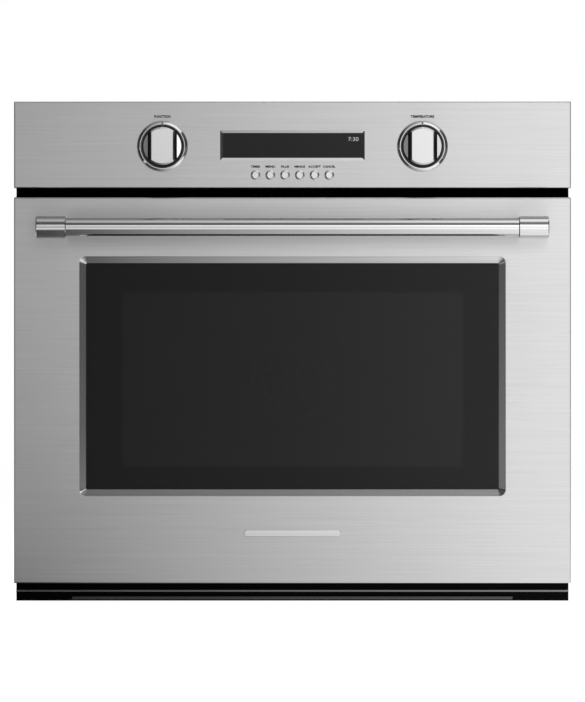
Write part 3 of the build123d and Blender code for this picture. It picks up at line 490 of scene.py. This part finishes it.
wears = {
    front_steel: ["door_skin", "control_fascia"],
    handle_steel: ["handle_bar"],
    bracket_steel: ["handle_brackets"],
    polished_trim: ["dial_rings", "display_bezel"],
    badge_metal: ["badge_plate"],
    left_knob_painted_lighter: ["function_knob"],
    right_knob_painted_darker: ["temperature_knob"],
    key_metal: [f"{word}_button" for word in ("timer", "menu", "plus", "minus", "accept", "cancel")],
    black_coat: ["front_frame"],
    duct_coat: ["blower_housing"],
    lower_coat: ["lower_vent_trim"],
    zinc_sheet: [
        "base_pan", "side_panels", "rear_panel", "top_cover", "junction_box", "lamp_housings",
        "hinge_receivers",
    ],
    dark_enamel: ["cavity_wrapper", "cavity_back", "fan_baffle", "door_liner"],
    wire_metal: ["side_racks", "upper_shelf", "lower_shelf"],
    plain_steel: [
        "slide_outer_rails", "slide_middle_rails", "slide_inner_rails", "hinge_claws", "hinge_channels",
        "latch_hook", "convection_fan", "temperature_probe",
    ],
    sheath: ["broil_element", "bake_element", "convection_element"],
    wool: ["insulation_wrap"],
    braid: ["door_gasket"],
    motor_paint: ["convection_motor", "blower_motor", "latch_motor"],
    door_glass: ["outer_glass"],
    inner_pane: ["middle_glass", "inner_glass"],
    lamp_glass: ["lamp_bulbs", "lamp_lenses"],
    display_pane: ["display_glass"],
    black_plastic: ["glass_frame", "dial_encoders", "blower_wheel"],
    board_green: ["control_board"],
    screw_zinc: ["casing_screws", "conduit_gland"],
}
for material, names in wears.items():
    for name in names:
        slots = nodes[name].data.materials
        slots.clear()
        slots.append(material)

# ---------------------------------------------------------------- pieces

INK_THICKNESS = 0.00006
LABEL_BOLD = 0.045  # how far the letters' outlines are pushed out, where the font's size is 1
BUTTON_PITCH = 0.02006


def piece(name, bm, material, body):
    """Turns a bmesh into an object that rides on a body."""
    bmesh.ops.recalc_face_normals(bm, faces=bm.faces)
    mesh = bpy.data.meshes.new(name)
    bm.to_mesh(mesh)
    bm.free()
    made = bpy.data.objects.new(name, mesh)
    bpy.context.scene.collection.objects.link(made)
    mesh.materials.append(material)
    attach(made, body)


def rounded_loop(half_x, half_z, centre_z, radius, steps=8):
    """Points of a rounded rectangle on the front, anticlockwise from the lower right."""
    points = []
    for corner, (sx, sz) in enumerate(((1, -1), (1, 1), (-1, 1), (-1, -1))):
        for step in range(steps + 1):
            angle = math.radians(-90 + 90 * corner + 90 * step / steps)
            points.append((sx * (half_x - radius) + radius * math.cos(angle),
                           centre_z + sz * (half_z - radius) + radius * math.sin(angle)))
    return points


def ring_between(outer, inner, front, back):
    """A flat ring of even thickness between two loops with the same number of points."""
    bm = bmesh.new()
    loops = [[bm.verts.new((x, y, z)) for x, z in loop] for loop in (outer, inner) for y in (front, back)]
    outer_front, outer_back, inner_front, inner_back = loops
    count = len(outer)
    for i in range(count):
        j = (i + 1) % count
        bm.faces.new((outer_front[i], outer_front[j], inner_front[j], inner_front[i]))
        bm.faces.new((outer_back[j], outer_back[i], inner_back[i], inner_back[j]))
        bm.faces.new((outer_front[j], outer_front[i], outer_back[i], outer_back[j]))
        bm.faces.new((inner_front[i], inner_front[j], inner_back[j], inner_back[i]))
    return bm


def plate(loop, front, back):
    """A flat plate of even thickness inside a loop."""
    bm = bmesh.new()
    near, far = ([bm.verts.new((x, y, z)) for x, z in loop] for y in (front, back))
    bm.faces.new(near)
    bm.faces.new(reversed(far))
    for i in range(len(loop)):
        j = (i + 1) % len(loop)
        bm.faces.new((near[i], near[j], far[j], far[i]))
    return bm


def lettering(name, words, x, z, height, width, material, front, bold=0.0):
    """Raised print of a given cap height and overall width, centred on x with its foot at z."""
    curve = bpy.data.curves.new(name, "FONT")
    curve.body = words
    curve.align_x = "CENTER"
    curve.size = 1.0
    curve.offset = bold
    probe = bpy.data.objects.new(name + "_probe", curve)
    bpy.context.scene.collection.objects.link(probe)
    bpy.context.view_layer.update()
    mesh = bpy.data.meshes.new_from_object(probe)
    bpy.data.objects.remove(probe)
    xs = [v.co.x for v in mesh.vertices]
    ys = [v.co.y for v in mesh.vertices]
    wide, tall = max(xs) - min(xs), max(ys) - min(ys)
    bm = bmesh.new()
    bm.from_mesh(mesh)
    for vertex in bm.verts:
        px = (vertex.co.x - min(xs)) / wide - 0.5
        pz = (vertex.co.y - min(ys)) / tall
        vertex.co = Vector((x + px * width, front, z + pz * height))
    grown = bmesh.ops.extrude_face_region(bm, geom=bm.faces[:])
    for vertex in (v for v in grown["geom"] if isinstance(v, bmesh.types.BMVert)):
        vertex.co.y -= INK_THICKNESS
    piece(name, bm, material, "chassis")


# black ceramic print round the edge of the door's outer pane, on its back face
glass_low, glass_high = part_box("outer_glass")
middle_z = (glass_low.z + glass_high.z) / 2
outer_edge = rounded_loop(glass_high.x - 0.0005, (glass_high.z - glass_low.z) / 2 - 0.0005, middle_z, 0.002)
clear_edge = rounded_loop(0.2335, 0.1192, 0.3022, 0.004)
print_ring = ring_between(outer_edge, clear_edge, glass_high.y + 0.00002, glass_high.y + 0.00012)
piece("glass_print", print_ring, glass_print, "door")

# a dark collar in the bottom of each dial's ring, and the ring's index mark
COLLAR_OUTER, COLLAR_INNER, COLLAR_STEPS = 0.0286, 0.0240, 72
INDEX_HALF_WIDTH, INDEX_TOP, INDEX_TIP = 0.0013, 0.0325, 0.0298
ring_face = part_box("dial_rings")[0].y
for side, x in (("left", -DIAL_X), ("right", DIAL_X)):
    turn = [math.radians(360 * i / COLLAR_STEPS) for i in range(COLLAR_STEPS)]
    wide, tight = ([(x + radius * math.cos(a), DIAL_Z + radius * math.sin(a)) for a in turn]
                   for radius in (COLLAR_OUTER, COLLAR_INNER))
    piece(f"dial_collar_{side}", ring_between(wide, tight, fascia_front - 0.0011, fascia_front - 0.0001),
          recess_black, "chassis")
    corners = [(x - INDEX_HALF_WIDTH, DIAL_Z + INDEX_TOP), (x + INDEX_HALF_WIDTH, DIAL_Z + INDEX_TOP),
               (x, DIAL_Z + INDEX_TIP)]
    piece(f"dial_index_{side}", plate(corners, ring_face - 0.0002, ring_face + 0.002), label_ink, "chassis")

# the words over the dials and the buttons, each with its width
dial_words = (("FUNCTION", -DIAL_X, 0.0222), ("TEMPERATURE", DIAL_X, 0.0322))
for word, x, width in dial_words:
    lettering(f"label_{word.lower()}", word, x, 0.6587, 0.0037, width, label_ink, fascia_front, LABEL_BOLD)
key_words = (("TIMER", 0.0131), ("MENU", 0.0131), ("PLUS", 0.0109), ("MINUS", 0.0144), ("ACCEPT", 0.0172),
             ("CANCEL", 0.0169))
for i, (word, width) in enumerate(key_words):
    x = (i - (len(key_words) - 1) / 2) * BUTTON_PITCH
    lettering(f"label_{word.lower()}", word, x, 0.5908, 0.0032, width, label_ink, fascia_front, LABEL_BOLD)

pane_front, pane_back = (corner.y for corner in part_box("display_glass"))
lettering("clock_digits", "7:30", 0.083, 0.6274, 0.0053, 0.0140, clock_glow, pane_front - 0.00002)

# the dark face of the display, just behind its pane
DISPLAY_Z = 0.6213
plate_edge = rounded_loop(0.0935, 0.0175, DISPLAY_Z, 0.002)
plate_hole = rounded_loop(0.0900, 0.0140, DISPLAY_Z, 0.001)
piece("display_mask", ring_between(plate_edge, plate_hole, pane_back + 0.00003, pane_back + 0.00012),
      display_face, "chassis")
piece("display_screen", plate(plate_hole, pane_back + 0.00006, pane_back + 0.00016), display_face, "chassis")

# ---------------------------------------------------------------- light, floor and camera

scene = bpy.context.scene
scene.view_settings.view_transform = "Standard"


def light_graph(tree, point):
    """Helpers for a light's own node tree: a ramp of greys along one axis of a point, and a blend of two."""
    parts = tree.nodes.new("ShaderNodeSeparateXYZ")
    tree.links.new(point, parts.inputs["Vector"])

    def ramp(axis, low, high, stops):
        span = tree.nodes.new("ShaderNodeMapRange")
        span.inputs["From Min"].default_value = low
        span.inputs["From Max"].default_value = high
        tree.links.new(parts.outputs[axis], span.inputs["Value"])
        node = tree.nodes.new("ShaderNodeValToRGB")
        elements = node.color_ramp.elements
        while len(elements) < len(stops):
            elements.new(0.5)
        for element, (place, grey) in zip(elements, stops):
            element.position = (place - low) / (high - low)
            element.color = rgba(grey)
        tree.links.new(span.outputs["Result"], node.inputs["Fac"])
        return node.outputs["Color"]

    def blend(kind, first, second):
        node = tree.nodes.new("ShaderNodeMixRGB")
        node.blend_type = kind
        node.inputs["Fac"].default_value = 1.0
        tree.links.new(first, node.inputs["Color1"])
        tree.links.new(second, node.inputs["Color2"])
        return node

    return ramp, blend


def seen_directly(tree, direct, otherwise, output):
    """Shows one shader to the camera and lights the object with the other."""
    rays = tree.nodes.new("ShaderNodeLightPath")
    chooser = tree.nodes.new("ShaderNodeMixShader")
    tree.links.new(rays.outputs["Is Camera Ray"], chooser.inputs["Fac"])
    tree.links.new(otherwise, chooser.inputs[1])
    tree.links.new(direct, chooser.inputs[2])
    tree.links.new(chooser.outputs["Shader"], output)


# the room: white where the camera looks past the object, dark to the left and dim to the right
world = bpy.data.worlds.new("studio")
scene.world = world
world.use_nodes = True
tree = world.node_tree
backdrop = tree.nodes["Background"]
backdrop.inputs["Color"].default_value = (1, 1, 1, 1)
room = tree.nodes.new("ShaderNodeBackground")
direction = tree.nodes.new("ShaderNodeTexCoord")
ramp, blend = light_graph(tree, direction.outputs["Generated"])
sideways = ramp("X", -1.0, 1.0, [(-1.0, 0.04), (-0.8, 0.04), (0.0, 0.30), (0.6, 0.30), (0.78, 0.10),
                                 (1.0, 0.05)])
upward = ramp("Z", -1.0, 1.0, [(0.0, 0.0), (0.5, 0.02), (0.85, 0.20), (1.0, 0.26)])
tree.links.new(blend("LIGHTEN", sideways, upward).outputs["Color"], room.inputs["Color"])
seen_directly(tree, backdrop.outputs["Background"], room.outputs["Background"],
              tree.nodes["World Output"].inputs["Surface"])


def softbox(name, centre, target, size, power):
    """A square area light aimed at a target and hidden from the camera."""
    light = bpy.data.lights.new(name, "AREA")
    light.shape = "RECTANGLE"
    light.size = light.size_y = size
    light.energy = power
    made = bpy.data.objects.new(name, light)
    scene.collection.objects.link(made)
    made.location = centre
    made.rotation_euler = (Vector(target) - Vector(centre)).to_track_quat("-Z", "Y").to_euler()
    made.visible_camera = False


CASING_CENTRE = (0.0, 0.3, 0.3)
softbox("rear_left", (-1.6, 2.3, 3.2), CASING_CENTRE, 2.2, 26)
softbox("rear_right", (1.9, 2.1, 3.0), CASING_CENTRE, 2.0, 20)


def light_card(name, bm):
    """A glowing sheet that lights and reflects but is never seen and throws no shadow."""
    data = bpy.data.meshes.new(name)
    bm.to_mesh(data)
    bm.free()
    made = bpy.data.objects.new(name, data)
    scene.collection.objects.link(made)
    made.visible_camera = False
    made.visible_shadow = False
    material = bpy.data.materials.new(name + "_glow")
    material.use_nodes = True
    nodes_here = material.node_tree.nodes
    nodes_here.remove(nodes_here["Principled BSDF"])
    glow = nodes_here.new("ShaderNodeEmission")
    material.node_tree.links.new(glow.outputs["Emission"], nodes_here["Material Output"].inputs["Surface"])
    data.materials.append(material)
    return material.node_tree, glow


# a tall sheet that curves up in front of the object and over it: darker to the left, brighter to the right
TENT_RADIUS, TENT_HALF_WIDTH, TENT_CENTRE_Z, TENT_STEPS = 2.2, 2.4, 0.35, 28
tent = bmesh.new()
rows = []
for i in range(TENT_STEPS + 1):
    angle = math.radians(-9 + 99 * i / TENT_STEPS)
    y, z = -TENT_RADIUS * math.cos(angle), TENT_CENTRE_Z + TENT_RADIUS * math.sin(angle)
    rows.append([tent.verts.new((x, y, z)) for x in (-TENT_HALF_WIDTH, TENT_HALF_WIDTH)])
for low, high in zip(rows, rows[1:]):
    tent.faces.new((low[0], low[1], high[1], high[0]))
tree, glow = light_card("tent", tent)
place = tree.nodes.new("ShaderNodeTexCoord")
ramp, blend = light_graph(tree, place.outputs["Object"])
across = ramp("X", -TENT_HALF_WIDTH, TENT_HALF_WIDTH, [
    (-2.3, 0.04), (-1.7, 0.16), (-0.75, 0.32), (-0.44, 0.41), (0.0, 0.635), (0.44, 1.0), (1.2, 1.0),
    (2.15, 0.85), (2.3, 0.12),
])
up = ramp("Z", 0.0, 2.6, [
    (0.0, 1.0), (0.02, 0.95), (0.09, 0.6), (0.80, 0.6), (0.90, 0.95), (1.25, 0.95), (1.45, 0.12), (2.1, 0.12),
    (2.3, 0.55),
])
tree.links.new(blend("MULTIPLY", across, up).outputs["Color"], glow.inputs["Color"])
glow.inputs["Strength"].default_value = 2.25

# the floor: white to the camera, and in reflections dark near the object's left and bright to its right
FLOOR_HALF_SIZE, FLOOR_Z = 12.0, -0.0006
floor_mesh = bmesh.new()
bmesh.ops.create_grid(floor_mesh, x_segments=1, y_segments=1, size=FLOOR_HALF_SIZE)
floor_data = bpy.data.meshes.new("floor")
floor_mesh.to_mesh(floor_data)
floor_mesh.free()
floor = bpy.data.objects.new("floor", floor_data)
floor.location = (0, 0, FLOOR_Z)
scene.collection.objects.link(floor)
g = Graph("floor_paper")
g.set(Roughness=0.9, Specular_IOR_Level=0.0, Emission_Color=(1, 1, 1, 1), Emission_Strength=0.9)
g.join(g.ramp(g.noise(g.coords(), 3.0), [(0.3, 0.40), (0.7, 0.42)]), g.shader.inputs["Base Color"])
place = g.add("ShaderNodeTexCoord")
ramp, blend = light_graph(g.tree, place.outputs["Object"])
near = ramp("X", -1.5, 1.5, [
    (-1.2, 0.02), (-0.36, 0.05), (0.0, 0.40), (0.36, 0.80), (1.0, 0.8), (1.45, 0.12),
])
far = ramp("X", -1.5, 1.5, [
    (-1.2, 0.36), (-0.36, 0.72), (0.0, 0.84), (0.36, 1.0), (1.0, 1.0), (1.45, 0.12),
])
front = blend("MIX", far, near)
g.join(ramp("Y", -1.6, 0.0, [(-1.5, 0.0), (-0.8, 1.0)]), front.inputs["Fac"])
behind = g.add("ShaderNodeRGB")
behind.outputs[0].default_value = rgba(0.5)
mixed = blend("MIX", front.outputs["Color"], behind.outputs[0])
g.join(ramp("Y", -0.1, 0.5, [(0.05, 0.0), (0.4, 1.0)]), mixed.inputs["Fac"])
sheen = g.add("ShaderNodeEmission")
sheen.inputs["Strength"].default_value = 1.45
g.join(mixed.outputs["Color"], sheen.inputs["Color"])
seen_directly(g.tree, g.shader.outputs["BSDF"], sheen.outputs["Emission"], g.output.inputs["Surface"])
floor_data.materials.append(g.material)

camera_data = bpy.data.cameras.new("camera")
camera_data.lens = 376.7
camera_data.sensor_width = 36.0
camera_data.clip_end = 100.0
camera = bpy.data.objects.new("camera", camera_data)
camera.location = (0.0001, -10.05, 0.3414)
camera.rotation_euler = (math.radians(90), 0, 0)
scene.collection.objects.link(camera)
scene.camera = camera
